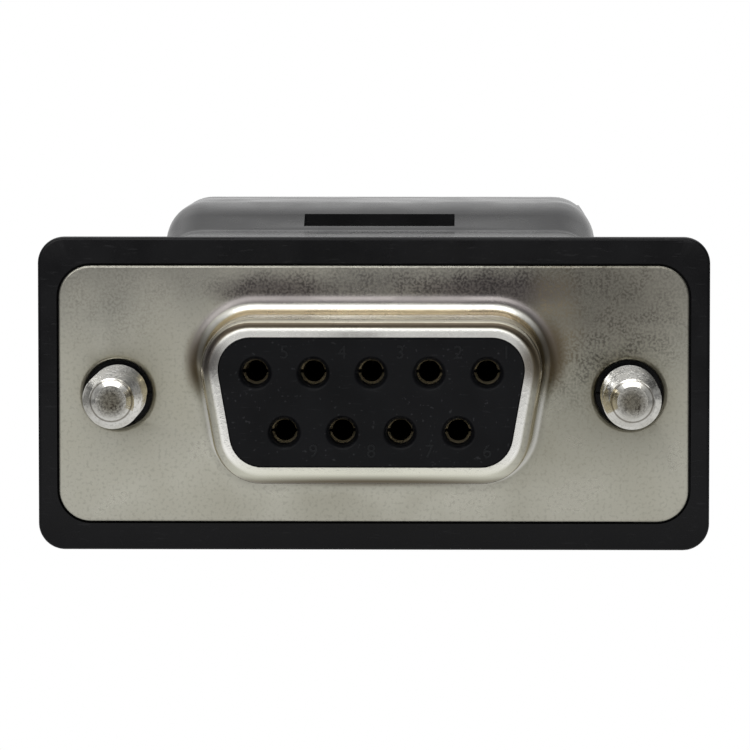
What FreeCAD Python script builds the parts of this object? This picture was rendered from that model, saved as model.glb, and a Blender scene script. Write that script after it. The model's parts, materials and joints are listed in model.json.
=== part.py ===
import FreeCAD, Part
import math
import os

# Nine-way D-shaped socket connector on the front, five clamping screw terminals at the back,
# a small board between them, and a two-part moulded housing with two captive jackscrews.
# Frame: X to the right as seen from the front, Y back into the housing, Z up.
# Origin: centre of the connector flange, on its front face. All sizes are in millimetres.

# Connector flange
screw_spacing = 24.99
flange_end = 2.91
flange_height = 12.55
flange_corner = 1.55
flange_edge_round = 0.12
flange_hole_radius = 1.65
flange_hole_round = 0.26

# Front shell, drawn from sheet
front_sheet = 0.50
skirt_width = 16.33
skirt_height = 7.90
skirt_corner = 2.40
skirt_side_angle = 10.0
skirt_reach = 5.90
skirt_wall = 0.40
skirt_front_round = 0.58
skirt_base_round = 1.00
skirt_lip = 0.43

# Rear shell, drawn from thinner sheet
rear_sheet = 0.40
box_width = 19.28
box_height = 10.72
box_corner = 2.90
box_depth = 4.30
box_lip = 0.90
box_back_round = 0.35
box_base_round = 0.35

# Contacts: five above, four below
contact_pitch = 2.77
contact_row_gap = 2.84
upper_contact_count = 5
lower_contact_count = 4
contact_radius = 0.80
contact_bore_radius = 0.51
contact_bore_depth = 6.0
contact_lead_in = 0.15
drill_point_angle = 118.0
contact_slit = 0.16
contact_slit_length = 3.6
contact_collar_radius = 1.00
contact_collar_length = 0.60
contact_tail_radius = 0.60
contact_tail_overlap = 3.3
contact_cup_radius = 0.42
contact_cup_depth = 2.0

# Insulators
insulator_setback = 0.05
mouth_radius = 0.62
mouth_length = 1.00
funnel_radius = 0.80
funnel_depth = 0.30
insulator_flange = 1.15
insulator_gap = 0.05
contact_gap = 0.05
rear_boss = 0.40

# Circuit board
board_thickness = 1.60
board_front_gap = 0.40
board_side_gap = 0.30
board_back_gap = 0.20
board_notch_length = 2.0
board_notch_depth = 1.2

# Screw terminals
pole_pitch = 3.81
poles = 5
pole_end = 2.28
block_depth = 7.45
cell_width = 3.00
cell_setback = 1.45
lid_thickness = 0.60
driver_hole_radius = 1.25
driver_hole_chamfer = 0.20
entry_funnel_depth = 1.0
entry_funnel_rim = 0.45
block_edge_chamfer = 0.25

# Rising clamp cage, screw and terminal pin
cage_rest_gap = 0.45
cage_side_gap = 0.10
cage_length = 3.00
cage_side_wall = 0.40
cage_floor = 0.70
cage_roof = 1.00
wire_opening = 1.55
bar_thickness = 0.60
bar_side_gap = 0.15
bar_top_gap = 0.05
thread_radius = 1.00
thread_gap = 0.05
thread_pitch = 0.40
clamp_turns = 3
screw_head_radius = 1.45
screw_head_height = 1.10
screw_head_gap = 0.15
screw_tip_gap = 0.10
screw_tip_chamfer = 0.20
screw_slot_width = 0.45
screw_slot_depth = 0.60
lid_gap = 0.10
pin_width = 0.80
pin_reach_below = 1.80
pin_slot_gap = 0.05
pin_hole_radius = 0.60

# Housing
bezel_side_rim = 1.03
bezel_top_rim = 1.41
bezel_corner = 1.30
bezel_setback = 0.10
bezel_thickness = 2.90
bezel_draft = 0.13
bezel_front_round = 0.18
bezel_back_round = 0.45
pocket_gap = 0.10
window_gap = 0.15
body_drop = 0.335
wall = 1.20
body_top_round = 2.00
body_bottom_round = 1.00
room_round = 0.80
ramp_start = 15.0
ramp_length = 3.0
ramp_foot_round = 1.2
ramp_top_round = 6.5
hood_length = 9.5
hood_step = 0.45
block_gap = 0.05
block_side_gap = 0.10
notch_width = 7.8
notch_height = 0.60
notch_foot = 0.25
rib_thickness = 1.0
rib_grip = 0.7
tongue_thickness = 0.35
tongue_height = 0.55
tongue_gap = 0.05
key_width = 0.60
key_depth = 0.45
key_gap = 0.08
key_setback = 0.50

# Jackscrews
jack_radius = 1.42
jack_reach = 5.20
jack_tip_chamfer = 0.50
jack_neck_radius = 1.10
jack_neck_gap = 0.08
jack_relief = 0.30
jack_head_radius = 2.30
jack_head_length = 9.0
jack_head_gap = 0.22
jack_head_round = 0.35
jack_grooves = 14
jack_groove_radius = 0.30
jack_groove_margin = 1.2
jack_slot_width = 0.80
jack_slot_depth = 1.10
scallop_gap = 0.30
scallop_run_out = 0.80
scallop_wall = 0.90
driver_channel_radius = 1.75

# Cutting tools: far enough outside the part to pass right through it, and just past a face
beyond = 60.0
overshoot = 1.0

# Places that follow from the sizes above: the connector
screw_x = screw_spacing / 2
flange_width = screw_spacing + 2 * flange_end
stack_back = front_sheet + rear_sheet
box_back = stack_back + box_depth
skirt_front = -skirt_reach
lip_back = skirt_front + skirt_wall
insulator_face = skirt_front + insulator_setback
mouth_front = insulator_face + funnel_depth
contact_front = mouth_front + mouth_length
joint_of_insulators = front_sheet + insulator_flange
boss_back = box_back + rear_boss
cavity_radius = contact_radius + contact_gap

# Places that follow: the board
board_top = board_thickness / 2
board_front = boss_back + board_front_gap
tail_back = board_front + contact_tail_overlap

# Places that follow: one terminal, from the board upwards
cage_bottom = board_top + cage_rest_gap
window_bottom = cage_bottom + cage_floor
bar_bottom = window_bottom + wire_opening
bar_top = bar_bottom + bar_thickness
window_top = bar_top + bar_top_gap
cage_top = window_top + cage_roof
clamp_travel = thread_pitch * clamp_turns
head_bottom = cage_top + clamp_travel + screw_head_gap
head_top = head_bottom + screw_head_height
cell_top = head_top + lid_gap
block_top = cell_top + lid_thickness

# Places that follow: the housing
block_half = pole_pitch * (poles - 1) / 2 + pole_end
room_half = block_half + block_side_gap
body_half = room_half + wall
bezel_width = flange_width + 2 * bezel_side_rim
bezel_height = flange_height + 2 * bezel_top_rim
bezel_back = bezel_setback + bezel_thickness
base_z = -bezel_height / 2
body_top = bezel_height / 2 - body_drop
hood_top = block_top + hood_step
hood_front = ramp_start + ramp_length
hood_back = hood_front + hood_length
block_front = hood_back + block_gap
housing_back = block_front + block_depth
board_back = housing_back - wall - board_back_gap

# Places that follow: the jackscrews and the room left beside them
head_front = bezel_back + jack_head_gap
head_back = head_front + jack_head_length
scallop_radius = jack_head_radius + scallop_gap
scallop_back = head_back + scallop_run_out
front_room_half = screw_x - scallop_radius - scallop_wall
front_room_back = scallop_back + scallop_wall
board_half = min(front_room_half, room_half) - board_side_gap

# Places that follow: the cell of each terminal, along Y
cell_front = block_front + cell_setback
cage_front = cell_front + cage_side_gap
cage_back = cage_front + cage_length
cell_back = cage_back + cage_side_gap
pole_y = (cage_front + cage_back) / 2
pin_front = block_front + (cell_setback - bar_thickness) / 2
cage_half = cell_width / 2 - cage_side_gap
window_half = cage_half - cage_side_wall
bar_half = window_half - bar_side_gap


def block(x0, x1, y0, y1, z0, z1):
    """Rectangular solid between two opposite corners."""
    return Part.makeBox(x1 - x0, y1 - y0, z1 - z0, FreeCAD.Vector(x0, y0, z0))


def rod(x, z, radius, y0, y1):
    """Cylinder along Y."""
    return Part.makeCylinder(radius, y1 - y0, FreeCAD.Vector(x, y0, z), FreeCAD.Vector(0, 1, 0))


def taper(x, z, radius0, radius1, y0, y1):
    """Cone along Y, with its first radius at y0."""
    return Part.makeCone(radius0, radius1, y1 - y0, FreeCAD.Vector(x, y0, z), FreeCAD.Vector(0, 1, 0))


def post(x, y, radius, z0, z1):
    """Cylinder along Z."""
    return Part.makeCylinder(radius, z1 - z0, FreeCAD.Vector(x, y, z0))


def joined(shapes):
    """One solid made of several that touch or overlap."""
    return shapes[0].multiFuse(shapes[1:]).removeSplitter()


def both_sides(shape):
    """A shape and its mirror image across the middle plane."""
    return [shape, shape.mirror(FreeCAD.Vector(0, 0, 0), FreeCAD.Vector(1, 0, 0))]


def touching_normal(corner, other, radius, other_radius):
    """Outward normal of the straight side that touches two corner circles."""
    step_x = other[0] - corner[0]
    step_z = other[1] - corner[1]
    length = math.hypot(step_x, step_z)
    along = (radius - other_radius) / length
    across = math.sqrt(1 - along * along)
    return (
        (step_x * along + step_z * across) / length,
        (step_z * along - step_x * across) / length,
    )


def rounded_outline(centres, radii, y):
    """Closed wire at one depth: arcs about the corner centres, joined by straight sides.

    The corners go anticlockwise as seen from the front.
    """
    normals = [
        touching_normal(centres[i - 1], centres[i], radii[i - 1], radii[i]) for i in range(len(centres))
    ]
    arcs = []
    for i, ((x, z), radius) in enumerate(zip(centres, radii)):
        before = normals[i]
        after = normals[(i + 1) % len(normals)]
        size = math.hypot(before[0] + after[0], before[1] + after[1])
        middle = ((before[0] + after[0]) / size, (before[1] + after[1]) / size)
        arcs.append([
            FreeCAD.Vector(x + radius * normal_x, y, z + radius * normal_z)
            for normal_x, normal_z in (before, middle, after)
        ])
    edges = []
    for arc, following in zip(arcs, arcs[1:] + arcs[:1]):
        edges.append(Part.Arc(*arc).toShape())
        edges.append(Part.LineSegment(arc[2], following[0]).toShape())
    return Part.Wire(edges)


def rectangle_outline(half_width, bottom, top, corner, y):
    """Rounded rectangle at one depth, even about the middle plane."""
    side = half_width - corner
    low = bottom + corner
    high = top - corner
    return rounded_outline([(side, low), (side, high), (-side, high), (-side, low)], [corner] * 4, y)


def slab(outline, length):
    """Outline at one depth, carried back by a length."""
    return Part.Face(outline).extrude(FreeCAD.Vector(0, length, 0))


def plate(width, height, corner, y0, y1):
    """Rounded rectangular plate, centred on the Y axis."""
    outline = rectangle_outline(width / 2, -height / 2, height / 2, corner, y0)
    return slab(outline, y1 - y0)


def d_block(width, height, corner, inset, y0, y1):
    """D-shaped block with its wide side up, its outline set in by an even amount."""
    centre_x = width / 2 - corner
    centre_z = height / 2 - corner
    lean = 2 * centre_z * math.tan(math.radians(skirt_side_angle))
    centres = [
        (centre_x - lean, -centre_z),
        (centre_x, centre_z),
        (-centre_x, centre_z),
        (-centre_x + lean, -centre_z),
    ]
    return slab(rounded_outline(centres, [corner - inset] * 4, y0), y1 - y0)


def skirt_block(inset, y0, y1):
    """Block with the outline of the front shell's skirt."""
    return d_block(skirt_width, skirt_height, skirt_corner, inset, y0, y1)


def box_block(inset, y0, y1):
    """Block with the outline of the rear shell's box."""
    return d_block(box_width, box_height, box_corner, inset, y0, y1)


def edges_at_depth(shape, y, half_width, half_height, outside=False):
    """Edges that lie wholly at one depth, inside or outside a window about the middle."""
    found = []
    for edge in shape.Edges:
        box = edge.BoundBox
        flat = abs(box.YMin - y) < 1e-4 and abs(box.YMax - y) < 1e-4
        if not flat:
            continue
        fits = max(-box.XMin, box.XMax) < half_width and max(-box.ZMin, box.ZMax) < half_height
        if fits != outside:
            found.append(edge)
    return found


def flange_holes(y0, y1):
    """The two holes for the jackscrews."""
    return both_sides(rod(screw_x, 0, flange_hole_radius, y0, y1))


def contact_places():
    """Place of each contact as (x, z), in the order of their numbers seen from the front."""
    places = []
    for count, z in ((upper_contact_count, contact_row_gap / 2), (lower_contact_count, -contact_row_gap / 2)):
        first = contact_pitch * (count - 1) / 2
        places += [(first - contact_pitch * i, z) for i in range(count)]
    return places


def pole_places():
    """Middle of each terminal along X, from left to right."""
    first = -pole_pitch * (poles - 1) / 2
    return [first + pole_pitch * i for i in range(poles)]


def make_front_shell():
    """Flange with the drawn skirt, whose front edge turns in to hold the insulator."""
    shell = joined([
        plate(flange_width, flange_height, flange_corner, 0, front_sheet),
        skirt_block(0, skirt_front, front_sheet / 2),
    ])
    window = (skirt_width / 2 + skirt_base_round, skirt_height / 2 + skirt_base_round)
    shell = shell.makeFillet(flange_edge_round, edges_at_depth(shell, 0, *window, outside=True))
    shell = shell.makeFillet(skirt_base_round, edges_at_depth(shell, 0, *window))
    shell = shell.makeFillet(skirt_front_round, edges_at_depth(shell, skirt_front, *window))
    shell = shell.cut(skirt_block(skirt_wall, lip_back, front_sheet + overshoot))
    shell = shell.cut(skirt_block(skirt_wall + skirt_lip, skirt_front - overshoot, front_sheet + overshoot))
    inner_round = skirt_base_round + skirt_wall
    shell = shell.makeFillet(inner_round, edges_at_depth(shell, front_sheet, *window))
    shell = shell.cut(flange_holes(-overshoot, front_sheet + overshoot))
    rims = [edge for edge in edges_at_depth(shell, 0, *window, outside=True) if edge.Closed]
    return shell.makeFillet(flange_hole_round, rims)


def make_rear_shell():
    """Flange behind the front one, with the drawn box that holds both insulators."""
    shell = joined([
        plate(flange_width, flange_height, flange_corner, front_sheet, stack_back),
        box_block(0, front_sheet + rear_sheet / 2, box_back),
    ])
    window = (box_width / 2 + box_base_round, box_height / 2 + box_base_round)
    shell = shell.makeFillet(box_base_round, edges_at_depth(shell, stack_back, *window))
    shell = shell.makeFillet(box_back_round, edges_at_depth(shell, box_back, *window))
    shell = shell.cut(box_block(rear_sheet, front_sheet - overshoot, box_back - rear_sheet))
    shell = shell.cut(box_block(rear_sheet + box_lip, 0, box_back + overshoot))
    return shell.cut(flange_holes(0, stack_back + overshoot))


def make_front_insulator():
    """Moulded block that fills the skirt, with a funnelled mouth in front of each contact."""
    insulator = joined([
        skirt_block(skirt_wall + skirt_lip + insulator_gap, insulator_face, lip_back),
        skirt_block(skirt_wall + insulator_gap, lip_back, front_sheet),
        box_block(rear_sheet + insulator_gap, front_sheet, joint_of_insulators),
    ])
    tools = []
    for x, z in contact_places():
        tools.append(taper(x, z, funnel_radius, mouth_radius, insulator_face, mouth_front))
        tools.append(rod(x, z, mouth_radius, insulator_face, contact_front + mouth_length))
        tools.append(rod(x, z, cavity_radius, contact_front, joint_of_insulators + overshoot))
    return insulator.cut(tools)


def make_rear_insulator():
    """Moulded block that backs the front one and traps the collars of the contacts."""
    insulator = joined([
        box_block(rear_sheet + insulator_gap, joint_of_insulators, box_back - rear_sheet),
        box_block(rear_sheet + box_lip + insulator_gap, box_back - rear_sheet, boss_back),
    ])
    collar_back = joint_of_insulators + contact_collar_length + contact_gap
    tools = []
    for x, z in contact_places():
        tools.append(rod(x, z, contact_collar_radius + contact_gap, 0, collar_back))
        tools.append(rod(x, z, cavity_radius, 0, boss_back + overshoot))
    return insulator.cut(tools)


def make_contact(x, z):
    """Socket contact: a bored and slit tube, a collar, and a tail that lies on the board."""
    collar_back = joint_of_insulators + contact_collar_length
    contact = joined([
        rod(x, z, contact_radius, contact_front, boss_back),
        rod(x, z, contact_collar_radius, joint_of_insulators, collar_back),
        rod(x, z, contact_tail_radius, boss_back - overshoot, tail_back),
    ])
    bore_back = contact_front + contact_bore_depth
    lead_in_radius = contact_bore_radius + contact_lead_in
    point_length = contact_bore_radius / math.tan(math.radians(drill_point_angle / 2))
    slit_back = contact_front + contact_slit_length
    half_slit = contact_slit / 2
    slit = block(
        x - contact_radius, x + contact_radius, contact_front - overshoot, slit_back,
        z - half_slit, z + half_slit,
    )
    return contact.cut([
        taper(x, z, lead_in_radius, contact_bore_radius, contact_front, contact_front + contact_lead_in),
        rod(x, z, contact_bore_radius, contact_front, bore_back),
        taper(x, z, contact_bore_radius, 0, bore_back, bore_back + point_length),
        slit,
        rod(x, z, contact_cup_radius, tail_back - contact_cup_depth, tail_back + overshoot),
    ])


def make_circuit_board():
    """Board between the two rows of tails, with a hole for each terminal pin."""
    board = block(-board_half, board_half, board_front, board_back, -board_top, board_top)
    notch = block(
        board_half - board_notch_depth, beyond, board_back - board_notch_length, beyond, -beyond, beyond
    )
    pin_y = pin_front + bar_thickness / 2
    holes = [post(x, pin_y, pin_hole_radius, -beyond, beyond) for x in pole_places()]
    return board.cut(holes + both_sides(notch))


def entry_tool(x):
    """Wire entry of one terminal: a square tunnel with a funnelled mouth."""
    tunnel = block(
        x - window_half, x + window_half, cell_back - overshoot, housing_back + overshoot,
        window_bottom, bar_bottom,
    )
    rings = []
    for rim, y in ((0, housing_back - entry_funnel_depth), (entry_funnel_rim, housing_back)):
        left = x - window_half - rim
        right = x + window_half + rim
        low = window_bottom - rim
        high = bar_bottom + rim
        corners = [(left, low), (right, low), (right, high), (left, high), (left, low)]
        rings.append(Part.makePolygon([FreeCAD.Vector(px, y, pz) for px, pz in corners]))
    return [tunnel, Part.makeLoft(rings, True, True)]


def cell_tools(x):
    """Everything that is hollow in one terminal: cell, pin slot, wire entry and driver hole."""
    half_cell = cell_width / 2
    half_pin = pin_width / 2 + pin_slot_gap
    half_bar = bar_half + pin_slot_gap
    slot_front = pin_front - pin_slot_gap
    slot_back = cell_front + overshoot
    slot_top = bar_top + pin_slot_gap
    chamfer_radius = driver_hole_radius + driver_hole_chamfer
    return entry_tool(x) + [
        block(x - half_cell, x + half_cell, cell_front, cell_back, 0, cell_top),
        block(x - half_pin, x + half_pin, slot_front, slot_back, 0, slot_top),
        block(x - half_bar, x + half_bar, slot_front, slot_back, bar_bottom - pin_slot_gap, slot_top),
        post(x, pole_y, driver_hole_radius, cell_top - overshoot, block_top + overshoot),
        Part.makeCone(
            driver_hole_radius, chamfer_radius, driver_hole_chamfer,
            FreeCAD.Vector(x, pole_y, block_top - driver_hole_chamfer),
        ),
    ]


def make_terminal_block_body():
    """Moulded block of the screw terminals, keyed into the housing's cheeks."""
    body = block(-block_half, block_half, block_front, housing_back, board_top, block_top)
    top_edges = [edge for edge in body.Edges if edge.BoundBox.ZMin > block_top - 1e-4]
    body = body.makeChamfer(block_edge_chamfer, top_edges)
    groove = block(
        block_half - key_depth, beyond, block_front + key_setback - key_gap,
        block_front + key_setback + key_width + key_gap, 0, beyond,
    )
    tools = both_sides(groove)
    for x in pole_places():
        tools += cell_tools(x)
    return body.cut(tools)


def make_terminal_screw(x):
    """Slotted clamping screw, held between the current bar and the lid of its cell."""
    tip_z = bar_top + screw_tip_gap
    screw = joined([
        Part.makeCone(
            thread_radius - screw_tip_chamfer, thread_radius, screw_tip_chamfer,
            FreeCAD.Vector(x, pole_y, tip_z),
        ),
        post(x, pole_y, thread_radius, tip_z + screw_tip_chamfer, head_bottom),
        post(x, pole_y, screw_head_radius, head_bottom, head_top),
    ])
    half_slot = screw_slot_width / 2
    return screw.cut(block(
        x - beyond, x + beyond, pole_y - half_slot, pole_y + half_slot, head_top - screw_slot_depth, beyond
    ))


def make_clamp_cage(x):
    """Square cage that climbs the screw and lifts the wire against the current bar."""
    cage = block(x - cage_half, x + cage_half, cage_front, cage_back, cage_bottom, cage_top)
    return cage.cut([
        block(x - window_half, x + window_half, 0, beyond, window_bottom, window_top),
        post(x, pole_y, thread_radius + thread_gap, window_top - overshoot, cage_top + overshoot),
    ])


def make_terminal_pin(x):
    """Current bar through the cage, bent down into a pin that passes the board."""
    pin_bottom = -board_top - pin_reach_below
    half_pin = pin_width / 2
    return joined([
        block(x - bar_half, x + bar_half, pin_front, cage_back, bar_bottom, bar_top),
        block(x - half_pin, x + half_pin, pin_front, pin_front + bar_thickness, pin_bottom, bar_bottom),
    ])


def bezel_outline(inset, y):
    """Outline of the bezel at one depth, set in by its draft."""
    half_height = bezel_height / 2 - inset
    half_width = bezel_width / 2 - inset
    return rectangle_outline(half_width, -half_height, half_height, bezel_corner, y)


def edges_across(shape, y, z):
    """Edges along X at one place in the side view."""
    middle = FreeCAD.Vector(0, y, z)
    return [edge for edge in shape.Edges if edge.CenterOfMass.distanceToPoint(middle) < 1e-4]


def long_edges(shape, above):
    """Edges that run from front to back along both sides, above or below the jackscrews."""
    found = []
    for edge in shape.Edges:
        box = edge.BoundBox
        runs_back = box.XLength < 1e-4 and box.YLength > 1e-4
        if runs_back and (box.ZMin > 0) == above:
            found.append(edge)
    return found


def housing_outside():
    """Bezel, body, ramp and hood of the housing as one solid."""
    rims = [bezel_outline(0, bezel_setback), bezel_outline(bezel_draft, bezel_back)]
    bezel = Part.makeLoft(rims, True, True)
    bezel = bezel.makeFillet(bezel_front_round, edges_at_depth(bezel, bezel_setback, beyond, beyond))
    bezel = bezel.makeFillet(bezel_back_round, edges_at_depth(bezel, bezel_back, beyond, beyond))
    body_front = (bezel_setback + bezel_back) / 2
    side_view = [
        (body_front, base_z), (housing_back, base_z), (housing_back, hood_top), (hood_front, hood_top),
        (ramp_start, body_top), (body_front, body_top), (body_front, base_z),
    ]
    profile = Part.makePolygon([FreeCAD.Vector(-body_half, y, z) for y, z in side_view])
    body = Part.Face(profile).extrude(FreeCAD.Vector(2 * body_half, 0, 0))
    body = body.makeFillet(ramp_foot_round, edges_across(body, ramp_start, body_top))
    body = body.makeFillet(ramp_top_round, edges_across(body, hood_front, hood_top))
    body = body.makeFillet(body_top_round, long_edges(body, above=True))
    body = body.makeFillet(body_bottom_round, long_edges(body, above=False))
    return joined([bezel, body])


def rib_boxes():
    """Walls across the inner room that grip the edges of the board from below and above."""
    inner = board_half - rib_grip
    front_rib = front_room_back + rib_thickness
    back_rib = hood_back - 3 * rib_thickness
    under_block = pole_y - rib_thickness / 2
    boxes = []
    for y in (front_rib, back_rib):
        boxes += both_sides(block(inner, beyond, y, y + rib_thickness, board_top, beyond))
    for y in (front_rib, back_rib, under_block):
        boxes += both_sides(block(inner, beyond, y, y + rib_thickness, -beyond, -board_top))
    return boxes


def inner_rooms():
    """What is hollow behind the connector: the room for the board, less the ribs that hold it."""
    floor = base_z + wall
    ceiling = body_top - wall
    back = housing_back - wall
    front_room = block(
        -front_room_half, front_room_half, box_back, front_room_back + overshoot, floor, ceiling
    )
    low = rectangle_outline(room_half, floor, ceiling, room_round, front_room_back)
    high = rectangle_outline(room_half, floor, hood_top - wall, room_round, hood_front)
    rooms = joined([
        front_room,
        slab(low, hood_front - front_room_back),
        slab(high, hood_back - wall - hood_front),
        block(-room_half, room_half, hood_front, hood_back + overshoot, floor + wall, board_top),
        block(-room_half, room_half, hood_front, back, floor, board_top),
    ])
    return rooms.cut(rib_boxes())


def block_room():
    """Open bay for the terminal block at the back, with a key on each cheek."""
    bay = block(-room_half, room_half, hood_back, beyond, board_top - block_gap, beyond)
    key = block(
        block_half - key_depth + key_gap, beyond, block_front + key_setback,
        block_front + key_setback + key_width, -beyond, block_top - block_edge_chamfer,
    )
    return bay.cut(both_sides(key))


def ramp_notch():
    """Shallow notch in the middle of the ramp, with an upright end wall."""
    floor = body_top + notch_foot
    slope = (hood_top - body_top) / ramp_length
    end = ramp_start + (notch_foot + notch_height) / slope
    return block(-notch_width / 2, notch_width / 2, ramp_start, end, floor, beyond)


def make_housing_halves():
    """Lower and upper shell, parted at the height of the jackscrews."""
    relief = window_gap + box_base_round
    cheek_top = block(-beyond, beyond, hood_back, beyond, block_top - block_edge_chamfer, beyond)
    housing = housing_outside().cut([
        plate(
            flange_width + 2 * pocket_gap, flange_height + 2 * pocket_gap, flange_corner + pocket_gap,
            -overshoot, stack_back,
        ),
        box_block(-window_gap, 0, box_back + window_gap),
        box_block(-relief, 0, stack_back + box_base_round),
        inner_rooms(),
        block_room(),
        ramp_notch(),
        cheek_top,
    ])

    # The back wall stays whole up to the terminal block, on the lower shell.
    below = joined([
        block(-beyond, beyond, -beyond, beyond, -beyond, 0),
        block(-room_half, room_half, housing_back - wall, beyond, -overshoot, board_top),
    ])
    tongue_front = front_room_back
    tongue_back = hood_back - wall
    tongue = block(
        room_half, room_half + tongue_thickness, tongue_front, tongue_back, -tongue_height, overshoot
    )
    rebate = block(
        room_half - tongue_gap, room_half + tongue_thickness + tongue_gap,
        tongue_front - tongue_gap, tongue_back + tongue_gap, -tongue_height - tongue_gap, 0,
    )
    screw_ways = (
        both_sides(rod(screw_x, 0, jack_neck_radius + jack_neck_gap, 0, bezel_back + overshoot))
        + both_sides(rod(screw_x, 0, scallop_radius, bezel_back, scallop_back))
        + both_sides(rod(screw_x, 0, driver_channel_radius, bezel_back, beyond))
    )
    lower = housing.common(below).cut(both_sides(rebate) + screw_ways)
    upper = joined([housing.cut(below)] + both_sides(tongue)).cut(screw_ways)
    return lower, upper


def make_jackscrew(x):
    """Captive screw: threaded end, thin neck in the bezel, and a grooved, slotted head."""
    tip_radius = jack_radius - jack_tip_chamfer
    thread_front = -jack_reach + jack_tip_chamfer
    head = rod(0, 0, jack_head_radius, head_front, head_back)
    head = head.makeFillet(jack_head_round, edges_at_depth(head, head_front, beyond, beyond))
    head = head.makeFillet(jack_head_round, edges_at_depth(head, head_back, beyond, beyond))
    half_slot = jack_slot_width / 2
    grooves = []
    for i in range(jack_grooves):
        angle = 2 * math.pi * i / jack_grooves
        groove_x = jack_head_radius * math.cos(angle)
        groove_z = jack_head_radius * math.sin(angle)
        grooves.append(rod(
            groove_x, groove_z, jack_groove_radius,
            head_front + jack_groove_margin, head_back - jack_groove_margin,
        ))
    slot = block(-beyond, beyond, head_back - jack_slot_depth, beyond, -half_slot, half_slot)
    screw = joined([
        taper(0, 0, tip_radius, jack_radius, -jack_reach, thread_front),
        rod(0, 0, jack_radius, thread_front, 0),
        taper(0, 0, jack_radius, jack_neck_radius, 0, jack_relief),
        rod(0, 0, jack_neck_radius, jack_relief, head_front + overshoot),
        head.cut(grooves + [slot]),
    ])
    screw.translate(FreeCAD.Vector(x, 0, 0))
    return screw


def all_pieces():
    """Every separate piece of the adapter, by name."""
    lower_shell, upper_shell = make_housing_halves()
    pieces = {
        "lower_shell": lower_shell,
        "upper_shell": upper_shell,
        "front_shell": make_front_shell(),
        "rear_shell": make_rear_shell(),
        "front_insulator": make_front_insulator(),
        "rear_insulator": make_rear_insulator(),
        "circuit_board": make_circuit_board(),
        "terminal_block_body": make_terminal_block_body(),
        "jackscrew_left": make_jackscrew(-screw_x),
        "jackscrew_right": make_jackscrew(screw_x),
    }
    for number, (x, z) in enumerate(contact_places(), 1):
        pieces[f"contact_{number}"] = make_contact(x, z)
    for number, x in enumerate(pole_places(), 1):
        pieces[f"terminal_screw_{number}"] = make_terminal_screw(x)
        pieces[f"clamp_cage_{number}"] = make_clamp_cage(x)
        pieces[f"terminal_pin_{number}"] = make_terminal_pin(x)
    return pieces


os.makedirs("parts", exist_ok=True)
for name, piece in all_pieces().items():
    piece.exportStep(f"parts/{name}.step")
    print(f"{name}: {len(piece.Solids)} solid, {piece.Volume:.2f} mm3, valid {piece.isValid()}")
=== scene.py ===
"""Looks of a nine-way connector to screw terminal adapter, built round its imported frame.

Meshes are in metres. Finishes place their marks in millimetres from the frame's origin.
"""

import json
import logging
import math
from dataclasses import dataclass, field
from enum import Enum

import bmesh
import bpy
from mathutils import Matrix, Vector


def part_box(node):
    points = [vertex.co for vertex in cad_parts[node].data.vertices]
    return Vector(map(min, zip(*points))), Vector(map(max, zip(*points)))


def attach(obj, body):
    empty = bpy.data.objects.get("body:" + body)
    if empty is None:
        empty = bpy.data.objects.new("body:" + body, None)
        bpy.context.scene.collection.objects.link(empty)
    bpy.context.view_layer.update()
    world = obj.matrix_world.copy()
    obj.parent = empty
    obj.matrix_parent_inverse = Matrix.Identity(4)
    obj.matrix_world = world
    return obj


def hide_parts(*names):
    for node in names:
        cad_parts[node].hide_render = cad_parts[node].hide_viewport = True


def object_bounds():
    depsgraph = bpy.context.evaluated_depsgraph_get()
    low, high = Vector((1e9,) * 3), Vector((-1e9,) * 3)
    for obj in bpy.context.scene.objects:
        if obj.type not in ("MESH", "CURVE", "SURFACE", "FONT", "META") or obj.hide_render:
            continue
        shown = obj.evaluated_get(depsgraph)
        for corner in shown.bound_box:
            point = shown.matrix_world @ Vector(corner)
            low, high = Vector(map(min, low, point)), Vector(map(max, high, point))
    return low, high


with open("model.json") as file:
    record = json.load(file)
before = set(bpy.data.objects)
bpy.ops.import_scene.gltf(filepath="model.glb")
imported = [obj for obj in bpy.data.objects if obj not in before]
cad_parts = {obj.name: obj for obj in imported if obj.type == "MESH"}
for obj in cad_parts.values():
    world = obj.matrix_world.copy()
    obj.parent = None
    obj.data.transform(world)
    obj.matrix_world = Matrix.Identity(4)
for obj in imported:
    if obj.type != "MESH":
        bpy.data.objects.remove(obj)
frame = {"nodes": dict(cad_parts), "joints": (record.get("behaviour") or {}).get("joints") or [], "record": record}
CAD_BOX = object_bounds()

LOG = logging.getLogger("adapter")
MM = 0.001
Pair = tuple[float, float]
Triple = tuple[float, float, float]
Colour = Triple


class Slot(Enum):
    """The record's material slots."""

    HOUSING = "housing_plastic"
    INSULATOR = "insulator_plastic"
    SHELL = "shell_nickel"
    JACKSCREW = "screw_nickel"
    CONTACT = "contact_gold"
    BOARD = "board_laminate"
    TERMINAL = "terminal_plastic"
    TERMINAL_SCREW = "terminal_screw_zinc"
    CAGE = "cage_steel"
    PIN = "pin_tinned"


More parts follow.
